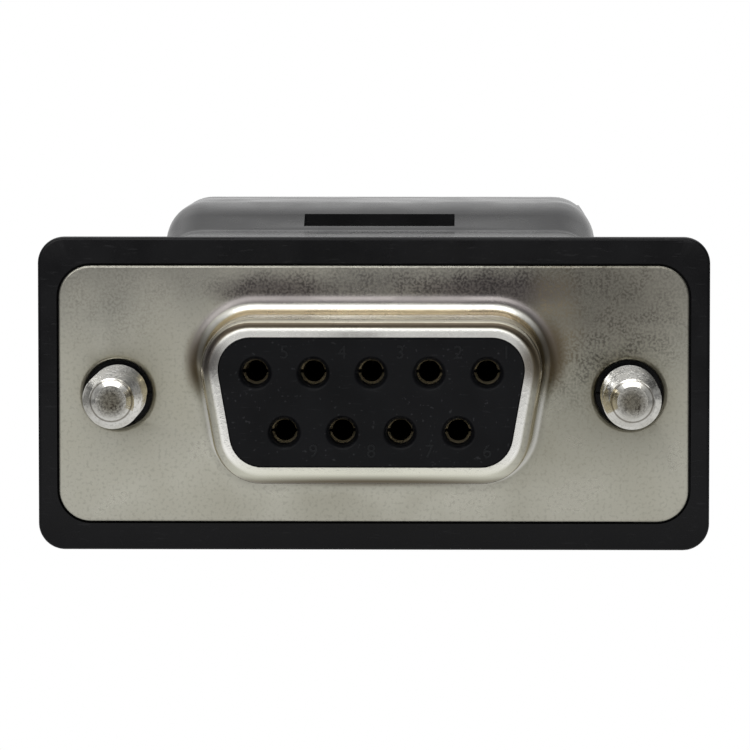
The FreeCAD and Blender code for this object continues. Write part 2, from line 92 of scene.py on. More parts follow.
class Graph:
    """Adds and links the nodes of one material or world."""

    def __init__(self, owner: bpy.types.Material | bpy.types.World) -> None:
        """Starts from an empty node tree.

        Args:
            owner: The material or world that the nodes belong to.
        """
        owner.use_nodes = True
        self.tree = owner.node_tree
        self.tree.nodes.clear()

    def add(self, kind: str, feeds: dict | None = None, **settings: object) -> bpy.types.Node:
        """Adds one node.

        Args:
            kind: Name of the node type, after the words ShaderNode.
            feeds: What goes into each input, by name or number: a value or another node's output.
            settings: Properties of the node itself.

        Returns:
            The new node.
        """
        node = self.tree.nodes.new("ShaderNode" + kind)
        for name, value in settings.items():
            setattr(node, name, value)
        for key, value in (feeds or {}).items():
            if isinstance(value, bpy.types.NodeSocket):
                self.tree.links.new(value, node.inputs[key])
            else:
                node.inputs[key].default_value = value
        return node

    def place(self, stretch: Triple = (1, 1, 1), centre: Triple = (0, 0, 0)) -> bpy.types.NodeSocket:
        """Object coordinates in millimetres.

        Args:
            stretch: Factor along each axis, below 1 where a pattern is drawn out.
            centre: Point in millimetres that becomes the middle.

        Returns:
            The vector output.
        """
        where = self.add("TexCoord").outputs["Object"]
        scale = [s / MM for s in stretch]
        shift = [-c * s for c, s in zip(centre, stretch)]
        return self.add("Mapping", {"Vector": where, "Scale": scale, "Location": shift}).outputs[0]

    def noise(self, where: bpy.types.NodeSocket, size: float, detail: float = 3.0) -> bpy.types.NodeSocket:
        """Noise of a given grain size.

        Args:
            where: Coordinates in millimetres.
            size: Size of one grain in millimetres.
            detail: Number of finer layers.

        Returns:
            The factor output, about 0.5 on average.
        """
        return self.add("TexNoise", {"Vector": where, "Scale": 1 / size, "Detail": detail}).outputs["Fac"]

    def ramp(
        self, value: bpy.types.NodeSocket, low: float, high: float, to: Pair = (0, 1)
    ) -> bpy.types.NodeSocket:
        """Smooth step of a value.

        Args:
            value: What is mapped.
            low: Value at which the step starts.
            high: Value at which it ends.
            to: Result before and after the step.

        Returns:
            The mapped value.
        """
        feeds = {"Value": value, "From Min": low, "From Max": high, "To Min": to[0], "To Max": to[1]}
        return self.add("MapRange", feeds, interpolation_type="SMOOTHSTEP").outputs[0]

    def calc(self, first: object, second: object, operation: str = "MULTIPLY") -> bpy.types.NodeSocket:
        """Works out one operation on two values, their product if none is named."""
        return self.add("Math", {0: first, 1: second}, operation=operation).outputs[0]

    def length(self, vector: bpy.types.NodeSocket) -> bpy.types.NodeSocket:
        """Length of a vector."""
        return self.add("VectorMath", {0: vector}, operation="LENGTH").outputs["Value"]

    def split(self, vector: bpy.types.NodeSocket) -> bpy.types.bpy_prop_collection:
        """Parts of a vector, by the letter of their axis."""
        return self.add("SeparateXYZ", {"Vector": vector}).outputs

    def choose(self, switch: bpy.types.NodeSocket, off: object, on: object) -> bpy.types.NodeSocket:
        """One value where a switch is 0 and another where it is 1."""
        return self.add("Mix", {0: switch, 2: off, 3: on}, data_type="FLOAT").outputs[0]

    def mix(self, share: object, first: object, second: object, blend: str = "MIX") -> bpy.types.NodeSocket:
        """Mixes two colours, or blends the second onto the first."""
        colours = [(*c, 1.0) if isinstance(c, tuple) else c for c in (first, second)]
        feeds = {"Factor": share, 6: colours[0], 7: colours[1]}
        return self.add("Mix", feeds, data_type="RGBA", blend_type=blend).outputs[2]

    def bump(self, height: bpy.types.NodeSocket, depth: float, below: object = None) -> bpy.types.NodeSocket:
        """Bump of a given depth.

        Args:
            height: Height from 0 to 1.
            depth: Real depth in millimetres.
            below: Normal of a coarser bump under this one.

        Returns:
            The normal output.
        """
        feeds = {"Height": height, "Distance": depth * MM, "Strength": 1.0}
        if below is not None:
            feeds["Normal"] = below
        return self.add("Bump", feeds).outputs[0]

    def surface(self, **feeds: object) -> None:
        """Ends the material in one shader.

        Args:
            feeds: Inputs of the shader, with spaces written as underscores.
        """
        named = {key.replace("_", " "): value for key, value in feeds.items()}
        for key, value in named.items():
            if isinstance(value, tuple):
                named[key] = (*value, 1.0)
        shader = self.add("BsdfPrincipled", named)
        self.add("OutputMaterial", {"Surface": shader.outputs[0]})


@dataclass(frozen=True)
class MouldedPlastic:
    """Dark moulding: cloudy tone, fine grain, faint scratches, dust, and a parting line if it has one.

    Each range holds the two levels of noise between which a mark fades in.
    """

    colour: Colour
    roughness: float
    sheen_level: float
    grain: float = 0.09
    grain_depth: float = 0.004
    scratch_depth: float = 0.002
    dust: float = 0.2
    parting_line: bool = False
    line_from: float = 0.3
    line_fade: float = 0.3
    line_width: float = 0.05
    line_depth: float = 0.04
    line_share: float = 0.6
    line_colour: Colour = (0.002, 0.002, 0.002)
    cloud_size: float = 2.6
    tone_range: Pair = (0.3, 0.7)
    tone_spread: Pair = (0.82, 1.18)
    rough_range: Pair = (0.25, 0.75)
    rough_spread: Pair = (-0.05, 0.07)
    scratch_size: float = 0.10
    scratch_stretch: Triple = (0.12, 0.6, 1.0)
    scratch_range: Pair = (0.62, 0.74)
    scratch_share: float = 0.35
    dust_size: float = 0.17
    dust_range: Pair = (0.70, 0.76)
    mark_gain: float = 2.4
    mark_haze: float = 0.012

    def dress(self, graph: Graph) -> None:
        """Builds the nodes."""
        where = graph.place()
        clouds = graph.noise(where, self.cloud_size)
        grain = graph.noise(where, self.grain, 2.0)
        scratches = graph.noise(graph.place(self.scratch_stretch), self.scratch_size, 4.0)
        scuffs = graph.ramp(scratches, *self.scratch_range)
        dust = graph.ramp(graph.noise(where, self.dust_size, 1.0), *self.dust_range)
        marks = graph.calc(graph.calc(scuffs, self.scratch_share), graph.calc(dust, self.dust), "ADD")
        light = tuple(min(1.0, c * self.mark_gain + self.mark_haze) for c in self.colour)
        tone = graph.ramp(clouds, *self.tone_range, self.tone_spread)
        colour = graph.mix(1.0, graph.mix(marks, self.colour, light), tone, "MULTIPLY")
        uneven = graph.ramp(clouds, *self.rough_range, self.rough_spread)
        rough = graph.calc(self.roughness, uneven, "ADD")
        normal = graph.bump(scuffs, self.scratch_depth, graph.bump(grain, self.grain_depth))
        if self.parting_line:
            groove = self.groove(graph, where)
            normal = graph.bump(groove, self.line_depth, normal)
            line = graph.ramp(groove, 0.0, 1.0, (self.line_share, 0.0))
            colour = graph.mix(line, colour, self.line_colour)
        graph.surface(Base_Color=colour, Roughness=rough, Normal=normal, Specular_IOR_Level=self.sheen_level)

    def groove(self, graph: Graph, where: bpy.types.NodeSocket) -> bpy.types.NodeSocket:
        """The parting line at mid height, which stops short of the bezel's face.

        Args:
            graph: Where the nodes are added.
            where: Coordinates in millimetres.

        Returns:
            Height of the surface, from 0 in the middle of the line to 1 beside it.
        """
        parts = graph.split(where)
        front = graph.ramp(parts["Y"], self.line_from - self.line_fade, self.line_from, (1.0, 0.0))
        off_line = graph.calc(graph.calc(parts["Z"], 0.0, "ABSOLUTE"), front, "ADD")
        return graph.ramp(off_line, 0.0, self.line_width)


@dataclass(frozen=True)
class Stain:
    """Patch of another colour on plating, a stain or painted shade, speckled or even, drawn out along an axis by a
    stretch below 1.
    """

    centre: Triple
    reach: float
    strength: float
    stretch: Triple = (1.0, 1.0, 1.0)
    colour: Colour = (0.11, 0.105, 0.09)
    speckled: bool = True
    core: float = 0.25

    def share(self, graph: Graph) -> bpy.types.NodeSocket:
        """How much of the patch shows at each point.

        Args:
            graph: Where the nodes are added.

        Returns:
            The share, from the strength inside its core to 0 at its reach.
        """
        far = graph.length(graph.place(self.stretch, self.centre))
        return graph.ramp(far, self.reach * self.core, self.reach, (self.strength, 0.0))


@dataclass(frozen=True)
class Band:
    """Ring between two depths along Y, with its own colour and polish, whole or only above a height."""

    start: float
    end: float
    colour: Colour
    strength: float = 1.0
    polish: float = 0.0
    soft: float = 0.2
    above: float | None = None
    above_soft: float = 1.6

    def share(self, graph: Graph, parts: bpy.types.bpy_prop_collection) -> bpy.types.NodeSocket:
        """How much of the ring shows at each point.

        Args:
            graph: Where the nodes are added.
            parts: Coordinates in millimetres, by the letter of their axis.

        Returns:
            The share, from 0 outside the ring to its strength.
        """
        opens = graph.ramp(parts["Y"], self.start - self.soft, self.start + self.soft)
        closes = graph.ramp(parts["Y"], self.end - self.soft, self.end + self.soft, (1.0, 0.0))
        share = graph.calc(graph.calc(opens, closes), self.strength)
        if self.above is None:
            return share
        low, high = self.above - self.above_soft, self.above + self.above_soft
        return graph.calc(share, graph.ramp(parts["Z"], low, high))


@dataclass(frozen=True)
class PlatedMetal:
    """Plated metal: cloudy tone, fine pits and rub marks, then its stains, its bands and its shades, among which
    lie painted reflections and painted shade.

    Each range holds the two levels of noise between which a mark fades in.
    """

    colour: Colour
    dull: Colour
    roughness: float
    cloud: float = 4.0
    speckle: float = 0.3
    rub: Triple = (1.0, 1.0, 1.0)
    rub_depth: float = 0.0012
    stains: tuple[Stain, ...] = ()
    bands: tuple[Band, ...] = ()
    shades: tuple[Stain, ...] = ()
    cloud_range: Pair = (0.32, 0.7)
    cloud_share: float = 0.4
    rough_spread: Pair = (-0.05, 0.08)
    pit_size: float = 0.16
    pit_range: Pair = (0.50, 0.66)
    pit_share: float = 0.4
    pit_level: float = 0.3
    speck_size: float = 0.13
    speck_range: Pair = (0.42, 0.60)
    speck_spread: Pair = (0.20, 1.0)
    clump_size: float = 1.0
    clump_range: Pair = (0.38, 0.62)
    clump_spread: Pair = (0.45, 1.0)
    rub_size: float = 0.07

    def dress(self, graph: Graph) -> None:
        """Builds the nodes."""
        where = graph.place()
        clouds = graph.ramp(graph.noise(where, self.cloud, 4.0), *self.cloud_range)
        pits = graph.ramp(graph.noise(where, self.pit_size), *self.pit_range)
        colour = graph.mix(graph.calc(clouds, self.cloud_share), self.colour, self.dull)
        soot = tuple(c * self.pit_level for c in self.dull)
        colour = graph.mix(graph.calc(pits, self.speckle * self.pit_share), colour, soot)
        smooth, coarse = self.rough_spread
        rough = graph.ramp(clouds, 0.0, 1.0, (self.roughness + smooth, self.roughness + coarse))
        colour = self.stained(graph, where, colour)
        parts = graph.split(where)
        for band in self.bands:
            share = band.share(graph, parts)
            colour = graph.mix(share, colour, band.colour)
            rough = graph.calc(rough, graph.calc(share, -band.polish), "ADD")
        for shade in self.shades:
            colour = graph.mix(shade.share(graph), colour, shade.colour)
        rubs = graph.noise(graph.place(self.rub), self.rub_size)
        normal = graph.bump(graph.calc(rubs, pits, "ADD"), self.rub_depth)
        graph.surface(Base_Color=colour, Metallic=1.0, Roughness=rough, Normal=normal)

    def stained(
        self, graph: Graph, where: bpy.types.NodeSocket, colour: bpy.types.NodeSocket
    ) -> bpy.types.NodeSocket:
        """Lays the stains and the painted shade over the plating.

        Args:
            graph: Where the nodes are added.
            where: Coordinates in millimetres.
            colour: Colour of the clean plating.

        Returns:
            The colour with its stains and painted shade.
        """
        if not self.stains:
            return colour
        clumps = graph.ramp(graph.noise(where, self.clump_size), *self.clump_range, self.clump_spread)
        specks = graph.ramp(graph.noise(where, self.speck_size, 4.0), *self.speck_range, self.speck_spread)
        broken = graph.calc(specks, clumps)
        for stain_or_shade in self.stains:
            patch = stain_or_shade.share(graph)
            share = graph.calc(patch, broken) if stain_or_shade.speckled else patch
            colour = graph.mix(share, colour, stain_or_shade.colour)
        return colour


@dataclass(frozen=True)
class BoardLaminate:
    """Lacquered glass-fibre board: woven grain under a green coat, bare fibre at its edges."""

    mask: Colour
    fibre: Colour
    weave: float = 0.45
    weave_depth: float = 0.004
    weave_gain: float = 1.35
    face_from: Pair = (0.74, 0.77)
    fibre_rough: float = 0.7
    coat_rough: float = 0.32

    def dress(self, graph: Graph) -> None:
        """Builds the nodes."""
        parts = graph.split(graph.place())
        thread = 2 * math.pi / self.weave
        warp, weft = (graph.calc(graph.calc(parts[axis], thread), 0.0, "SINE") for axis in ("X", "Y"))
        cloth = graph.ramp(graph.calc(warp, weft), -1.0, 1.0)
        face = graph.ramp(graph.calc(parts["Z"], 0.0, "ABSOLUTE"), *self.face_from)
        coat = graph.mix(cloth, self.mask, tuple(c * self.weave_gain for c in self.mask))
        colour = graph.mix(face, self.fibre, coat)
        rough = graph.ramp(face, 0.0, 1.0, (self.fibre_rough, self.coat_rough))
        graph.surface(Base_Color=colour, Roughness=rough, Normal=graph.bump(cloth, self.weave_depth))


Finish = MouldedPlastic | PlatedMetal | BoardLaminate
SCREW_X = 12.495
TIP_Y = -5.2
RUST = (0.30, 0.25, 0.16)
# Brown and grey of the painted shade on the shell.
PAINTED_SHADE_BROWN = (0.10, 0.075, 0.042)
PAINTED_SHADE_GREY = (0.085, 0.072, 0.068)
DIM_GREY = (0.12, 0.104, 0.098)
SPECKS = (0.030, 0.026, 0.026)
TIP_DARK = (0.03, 0.022, 0.015)
OLIVE = (0.16, 0.145, 0.105)
FINISHES = {
    Slot.HOUSING: MouldedPlastic((0.0022, 0.0022, 0.0029), 0.26, 0.19, grain_depth=0.003, parting_line=True),
    Slot.INSULATOR: MouldedPlastic((0.0030, 0.0032, 0.0040), 0.38, 0.11, 0.14, 0.002, 0.0012, 0.9),
    Slot.TERMINAL: MouldedPlastic((0.0085, 0.0087, 0.0095), 0.38, 0.30, 0.12, 0.002),
    Slot.SHELL: PlatedMetal(
        (0.51, 0.50, 0.430), (0.41, 0.395, 0.320), 0.32, speckle=0.45,
        stains=(
            # Plating darker at the right, and painted shade along the top edge.
            Stain((9.5, 0.0, 1.5), 9.5, 0.50, colour=(0.25, 0.24, 0.19), speckled=False),
            Stain((0.0, 0.0, 7.5), 4.8, 0.55, (0.12, 1.0, 1.0), (0.24, 0.23, 0.20), False),
            # Speckle in the upper corners, and darker plating at the upper right.
            Stain((10.5, 0.0, 4.6), 7.0, 1.0, colour=(0.055, 0.051, 0.043)),
            Stain((10.6, 0.0, 4.9), 5.5, 0.60, (0.8, 1.0, 1.3), (0.15, 0.14, 0.11), False),
            Stain((-13.0, 0.0, 5.6), 5.0, 0.35),
            # Darker patches above the skirt, then the specks on them.
            Stain((-4.9, 0.0, 5.0), 1.1, 0.86, (0.28, 1.0, 1.0), DIM_GREY, False),
            Stain((5.8, 0.0, 5.0), 1.2, 0.90, (0.24, 1.0, 1.0), DIM_GREY, False),
            Stain((0.6, 0.0, 5.05), 1.2, 0.40, (0.20, 1.0, 1.0), DIM_GREY, False),
            Stain((-4.6, 0.0, 5.1), 1.2, 0.95, (0.30, 1.0, 1.0), SPECKS),
            Stain((5.4, 0.0, 5.15), 1.4, 1.0, (0.26, 1.0, 1.0), SPECKS),
            Stain((0.5, 0.0, 5.2), 1.6, 0.65, (0.12, 1.0, 1.0), SPECKS),
            # Brown patches beside the skirt, painted shade on the sides of its base fillet, and halos round the
            # screws.
            Stain((8.8, 0.0, 3.4), 1.9, 0.70, (1.0, 1.0, 0.5), RUST),
            Stain((8.7, -0.3, 1.9), 1.6, 0.90, (1.5, 1.0, 0.75), PAINTED_SHADE_BROWN, False),
            Stain((-8.6, -0.3, 1.5), 1.4, 0.85, (1.6, 1.0, 0.7), PAINTED_SHADE_BROWN, False),
            *(Stain((x, 0.0, 0.0), 2.4, 0.45, colour=RUST, speckled=False) for x in (-12.5, 12.5)),
        ),
        bands=(
            # Painted reflections on the skirt: a gold tone over it, then a painted highlight and a line of painted
            # shade at its base.
            Band(-5.64, -0.42, (0.62, 0.54, 0.36), 0.75, 0.10, 0.10),
            Band(-0.42, -0.16, (0.80, 0.79, 0.74), 0.80, 0.05, 0.05),
            Band(-0.13, -0.01, (0.24, 0.22, 0.215), 0.90, 0.0, 0.02, 2.0),
            # Painted reflections on its top, from the base to the front: gold, shaded, pale, shaded.
            Band(-1.05, -0.42, (0.88, 0.73, 0.46), 0.85, 0.0, 0.08, 2.0),
            Band(-2.90, -1.15, (0.43, 0.37, 0.25), 0.80, 0.0, 0.25, 2.0),
            Band(-5.35, -4.00, (0.74, 0.69, 0.53), 0.80, 0.0, 0.35, 2.0),
            Band(-5.68, -5.42, (0.17, 0.16, 0.135), 0.85, 0.0, 0.05, 2.0),
            # A painted dark reflection in a ring before the turned edge, then the lip's painted highlight.
            Band(-5.87, -5.69, (0.06, 0.045, 0.03), 0.95, 0.05, 0.03, 1.6),
            Band(-7.00, -5.88, (0.94, 0.93, 0.89), 0.90, 0.14, 0.02),
        ),
        shades=(
            # Painted shade on the lower lip, and two lines of painted shadow under it.
            Stain((0.0, -5.95, -3.85), 1.70, 0.90, (0.10, 1.0, 1.0), (0.66, 0.655, 0.55), False),
            Stain((0.0, -5.58, -3.90), 0.60, 0.92, (0.05, 1.0, 1.0), PAINTED_SHADE_BROWN, False),
            Stain((0.0, -0.20, -4.25), 0.40, 0.80, (0.05, 1.0, 1.0), PAINTED_SHADE_BROWN, False),
            # Painted shade at both ends of the lip and of the base.
            Stain((-8.0, -5.9, 2.1), 1.6, 0.80, (1.0, 0.8, 1.0), PAINTED_SHADE_GREY, False),
            Stain((8.0, -5.9, 1.9), 1.7, 0.80, (1.0, 0.8, 1.0), PAINTED_SHADE_BROWN, False),
            Stain((8.35, -0.35, 1.9), 1.5, 0.80, (1.3, 1.0, 0.65), PAINTED_SHADE_BROWN, False),
            Stain((-8.35, -0.35, 1.6), 1.4, 0.65, (1.3, 1.0, 0.65), PAINTED_SHADE_BROWN, False),
        ),
    ),
    Slot.JACKSCREW: PlatedMetal(
        (0.76, 0.75, 0.71), (0.48, 0.46, 0.40), 0.17, 0.7, 0.5, (1.0, 0.3, 0.35), 0.003,
        # The screws' tips darker: olive evenly, then dark specks over it.
        stains=tuple(
            Stain((x, TIP_Y, 0.0), 1.0, strength, (1.0, 2.0, 1.0), colour, speckled)
            for strength, colour, speckled in ((0.85, OLIVE, False), (1.0, TIP_DARK, True))
            for x in (-SCREW_X, SCREW_X)
        ),
        bands=(Band(-4.98, -4.90, (0.16, 0.14, 0.11), 0.75, 0.0, 0.03),),
    ),
    Slot.CONTACT: PlatedMetal(
        (0.66, 0.60, 0.46), (0.52, 0.46, 0.33), 0.30, 0.8, 0.3,
        # Painted shade inside the bore, dark from just behind the front rim to the back.
        bands=(Band(-4.35, 60.0, (0.07, 0.06, 0.035)),),
    ),
    Slot.TERMINAL_SCREW: PlatedMetal(
        (0.46, 0.465, 0.47), (0.36, 0.365, 0.36), 0.42, 1.0, 0.3, (0.3, 1.0, 1.0), 0.003,
    ),
    Slot.CAGE: PlatedMetal((0.62, 0.62, 0.60), (0.50, 0.49, 0.46), 0.30, 1.0, 0.3),
    Slot.PIN: PlatedMetal((0.70, 0.68, 0.64), (0.58, 0.56, 0.50), 0.30, 1.0, 0.2),
    Slot.BOARD: BoardLaminate((0.012, 0.10, 0.045), (0.42, 0.38, 0.20)),
}
# Numerals' relief in paler plastic: a painted sheen on their tops.
RELIEF_WITH_PAINTED_SHEEN = MouldedPlastic((0.0060, 0.0065, 0.0075), 0.42, 0.15, 0.14, 0.002)


def mouths() -> dict[str, Pair]:
    """Where each contact's mouth lies across and up the face, by the name of its mount."""
    return {
        mount["name"]: (mount["pos_m"][0], mount["pos_m"][2])
        for mount in frame["record"]["mounts"] if mount["name"].startswith("socket_")
    }


def material_of(name: str, finish: Finish) -> bpy.types.Material:
    """The material of one finish, made the first time it is asked for."""
    made = bpy.data.materials.get(name)
    if made is None:
        made = bpy.data.materials.new(name)
        finish.dress(Graph(made))
    return made


class Piece:
    """A new mesh of the object, from its first vertices to its place on a body."""

    def __init__(self, name: str, source: str | None = None) -> None:
        """Starts empty, or from a copy of a solid.

        Args:
            name: Name of the finished object.
            source: Node whose mesh is copied and merged, if any.
        """
        self.name = name
        self.mesh = bmesh.new()
        if source is not None:
            self.mesh.from_mesh(frame["nodes"][source].data)
            bmesh.ops.remove_doubles(self.mesh, verts=self.mesh.verts[:], dist=1e-7)

    def cut(self, point: Vector, normal: Vector) -> None:
        """Cuts away what lies on the normal's side of a plane and closes the cut.

        Args:
            point: A point on the plane.
            normal: Points to what is cut away.
        """
        everything = self.mesh.verts[:] + self.mesh.edges[:] + self.mesh.faces[:]
        result = bmesh.ops.bisect_plane(
            self.mesh, geom=everything, dist=1e-8, plane_co=point, plane_no=normal, clear_outer=True
        )
        rim = [g for g in result["geom_cut"] if isinstance(g, bmesh.types.BMEdge)]
        bmesh.ops.triangle_fill(self.mesh, edges=rim, use_beauty=True)

    def finish(
        self, slot: Slot, body: str, crease: float = 32.0, replaces: tuple[str, ...] = (),
        sheen_painted: bool = False,
    ) -> None:
        """Turns the mesh into an object with its finish and puts it on its body.

        Args:
            slot: Material slot of the record.
            body: Body that it rides on.
            crease: Angle in degrees above which an edge stays sharp.
            replaces: Nodes that it stands for.
            sheen_painted: Whether its top is painted paler, as a painted sheen.
        """
        limit = math.radians(crease)
        for face in self.mesh.faces:
            face.smooth = True
        for edge in self.mesh.edges:
            edge.smooth = len(edge.link_faces) == 2 and edge.calc_face_angle(0.0) < limit
        data = bpy.data.meshes.new(self.name)
        self.mesh.to_mesh(data)
        self.mesh.free()
        made = bpy.data.objects.new(self.name, data)
        bpy.context.scene.collection.objects.link(made)
        # The numerals' relief gets a painted sheen, everything else its slot's finish.
        surface = ("relief_with_painted_sheen", RELIEF_WITH_PAINTED_SHEEN) if sheen_painted else (slot.value + "_finish", FINISHES[slot])
        data.materials.append(material_of(*surface))
        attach(made, body)
        if replaces:
            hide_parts(*replaces)
        LOG.info("%s on %s: %d faces", self.name, body, len(data.polygons))


@dataclass
class Housing:
    """The two moulded halves."""

    shells: tuple[str, str] = ("upper_shell", "lower_shell")

    def build(self) -> None:
        """Smooths both halves."""
        for node in self.shells:
            Piece(node + "_moulding", node).finish(Slot.HOUSING, "housing", replaces=(node,))


@dataclass
class Connector:
    """Nickel shells, insulators, contacts and the moulded numerals on the face."""

    numeral_height: float = 0.90 * MM
    numeral_relief: float = 0.03 * MM
    numeral_shift: Pair = (1.385 * MM, 0.95 * MM)
    numeral_limit: float = 6.45 * MM
    rim_reach: float = 0.95 * MM
    rim_round: float = 0.07 * MM
    rim_angle: float = math.radians(20)
    flush: float = 0.001 * MM

    def build(self) -> None:
        """Smooths the solids and adds the numerals."""
        for node in ("front_shell", "rear_shell"):
            Piece(node + "_drawn", node).finish(Slot.SHELL, "housing", replaces=(node,))
        for node in ("front_insulator", "rear_insulator"):
            piece = Piece(node + "_moulding", node)
            if node == "front_insulator":
                self.round_rims(piece)
            piece.finish(Slot.INSULATOR, "housing", replaces=(node,))
        for number in range(1, 10):
            node = f"contact_{number}"
            Piece(node + "_turned", node).finish(Slot.CONTACT, "housing", replaces=(node,))
        self.numerals()

    def round_rims(self, piece: Piece) -> None:
        """Rounds the front rim of every mouth.

        Args:
            piece: The front insulator.
        """
        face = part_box("front_insulator")[0].y
        centres = mouths().values()
        rims = []
        for edge in piece.mesh.edges:
            flush = all(abs(vert.co.y - face) < self.flush for vert in edge.verts)
            sharp = len(edge.link_faces) == 2 and edge.calc_face_angle(0.0) > self.rim_angle
            middle = (edge.verts[0].co + edge.verts[1].co) / 2
            near = any(math.hypot(middle.x - x, middle.z - z) < self.rim_reach for x, z in centres)
            if flush and sharp and near:
                rims.append(edge)
        bmesh.ops.bevel(
            piece.mesh, geom=rims, affect="EDGES", offset=self.rim_round, segments=3, profile=0.5, material=-1
        )

    def numerals(self) -> None:
        """Sets each contact's number beside its mouth, in low relief."""
        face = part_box("front_insulator")[0].y
        centres = mouths()
        for number in range(1, 10):
            x, z = centres[f"socket_{number}"]
            side = 1 if z > 0 else -1
            curve = bpy.data.curves.new(f"numeral_{number}", "FONT")
            curve.body = str(number)
            curve.size = self.numeral_height
            curve.align_x = "CENTER"
            curve.align_y = "CENTER"
            curve.extrude = self.numeral_relief
            holder = bpy.data.objects.new(curve.name, curve)
            bpy.context.scene.collection.objects.link(holder)
            graph = bpy.context.evaluated_depsgraph_get()
            data = bpy.data.meshes.new_from_object(holder.evaluated_get(graph))
            bpy.data.objects.remove(holder)
            across = min(x + self.numeral_shift[0], self.numeral_limit)
            spot = Vector((across, face, z + side * self.numeral_shift[1]))
            data.transform(Matrix.Translation(spot) @ Matrix.Rotation(math.pi / 2, 4, "X"))
            piece = Piece(f"numeral_{number}")
            piece.mesh.from_mesh(data)
            # Paler relief: a painted sheen on the numerals.
            piece.finish(Slot.INSULATOR, "housing", sheen_painted=True)


@dataclass
class Jackscrew:
    """One captive screw: its thread is cut here, the rest follows the solid.

    The profile gives the thread's height, from its root to its crest, along one pitch.
    """

    side: str
    pitch: float = 25.4 / 40 * MM
    depth_share: float = 0.5413
    profile: tuple[Pair, ...] = ((0.0, 0), (0.125, 0), (0.4375, 1), (0.5625, 1), (0.875, 0), (1.0, 0))
    lead: int = 2
    steps: int = 48
    chamfer: float = 0.68 * MM
    seat: float = 0.15 * MM
    major: float = 1.42 * MM
    crease: float = 28.0
    weld: float = 0.001 * MM

    def build(self) -> None:
        """Cuts the thread and joins it to the neck and head."""
        node = f"jackscrew_{self.side}"
        joint = next(j for j in frame["joints"] if j["child"] == node)
        axis = Vector(joint["pos_m"])
        piece = Piece(node + "_turned", node)
        piece.cut(Vector((0, self.seat, 0)), Vector((0, -1, 0)))
        thread = self.thread(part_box(node)[0].y)
        bmesh.ops.translate(thread.mesh, verts=thread.mesh.verts[:], vec=(axis.x, 0, axis.z))
        holder = bpy.data.meshes.new("thread")
        thread.mesh.to_mesh(holder)
        thread.mesh.free()
        piece.mesh.from_mesh(holder)
        bpy.data.meshes.remove(holder)
        piece.finish(Slot.JACKSCREW, node, self.crease, (node,))

    def thread(self, tip: float) -> Piece:
        """Cuts the helical thread about the Y axis, from the tip back to its seat.

        Args:
            tip: Depth of the tip.

        Returns:
            The closed thread.
        """
        depth = self.depth_share * self.pitch
        piece = Piece("thread")
        turns = math.ceil((self.seat - tip) / self.pitch) + self.lead
        start = tip - self.lead * self.pitch
        points = [
            piece.mesh.verts.new((self.major - (1 - height) * depth, start + along * self.pitch, 0.0))
            for along, height in self.profile
        ]
        line = [piece.mesh.edges.new(pair) for pair in zip(points, points[1:])]
        bmesh.ops.spin(
            piece.mesh, geom=points + line, cent=(0, 0, 0), axis=(0, 1, 0),
            dvec=(0, self.pitch / self.steps, 0), angle=turns * 2 * math.pi, steps=turns * self.steps,
        )
        bmesh.ops.remove_doubles(piece.mesh, verts=piece.mesh.verts[:], dist=self.weld)
        piece.cut(Vector((0, self.seat, 0)), Vector((0, 1, 0)))
        piece.cut(Vector((0, tip, 0)), Vector((0, -1, 0)))
        flat = self.major - self.chamfer
        for vert in piece.mesh.verts:
            reach = math.hypot(vert.co.x, vert.co.z)
            limit = flat + (vert.co.y - tip)
            if reach > limit:
                vert.co.x *= limit / reach
                vert.co.z *= limit / reach
        bmesh.ops.recalc_face_normals(piece.mesh, faces=piece.mesh.faces[:])
        return piece


@dataclass
class Terminals:
    """Terminal block, its screws, cages and pins, and the board that carries them."""

    poles: int = 5

    def build(self) -> None:
        """Smooths the solids."""
        node = "circuit_board"
        Piece(node + "_lacquered", node).finish(Slot.BOARD, "housing", replaces=(node,))
        node = "terminal_block_body"
        Piece(node + "_moulding", node).finish(Slot.TERMINAL, "housing", replaces=(node,))
        for number in range(1, self.poles + 1):
            for kind, slot in (("terminal_screw", Slot.TERMINAL_SCREW), ("clamp_cage", Slot.CAGE)):
                node = f"{kind}_{number}"
                Piece(node + "_plated", node).finish(slot, node, replaces=(node,))
            node = f"terminal_pin_{number}"
            Piece(node + "_tinned", node).finish(Slot.PIN, "housing", replaces=(node,))


@dataclass
class Lamp:
    """One soft box."""

    name: str
    place: Triple
    aim: Triple
    size: Pair
    radiance: float

    def build(self) -> None:
        """Hangs the lamp, with its power worked out from its radiance."""
        data = bpy.data.lights.new(self.name, "AREA")
        data.shape = "RECTANGLE"
        data.size, data.size_y = self.size
        data.energy = self.radiance * math.pi * self.size[0] * self.size[1]
        lamp = bpy.data.objects.new(self.name, data)
        lamp.location = self.place
        lamp.rotation_euler = (Vector(self.aim) - Vector(self.place)).to_track_quat("-Z", "Y").to_euler()
        bpy.context.scene.collection.objects.link(lamp)


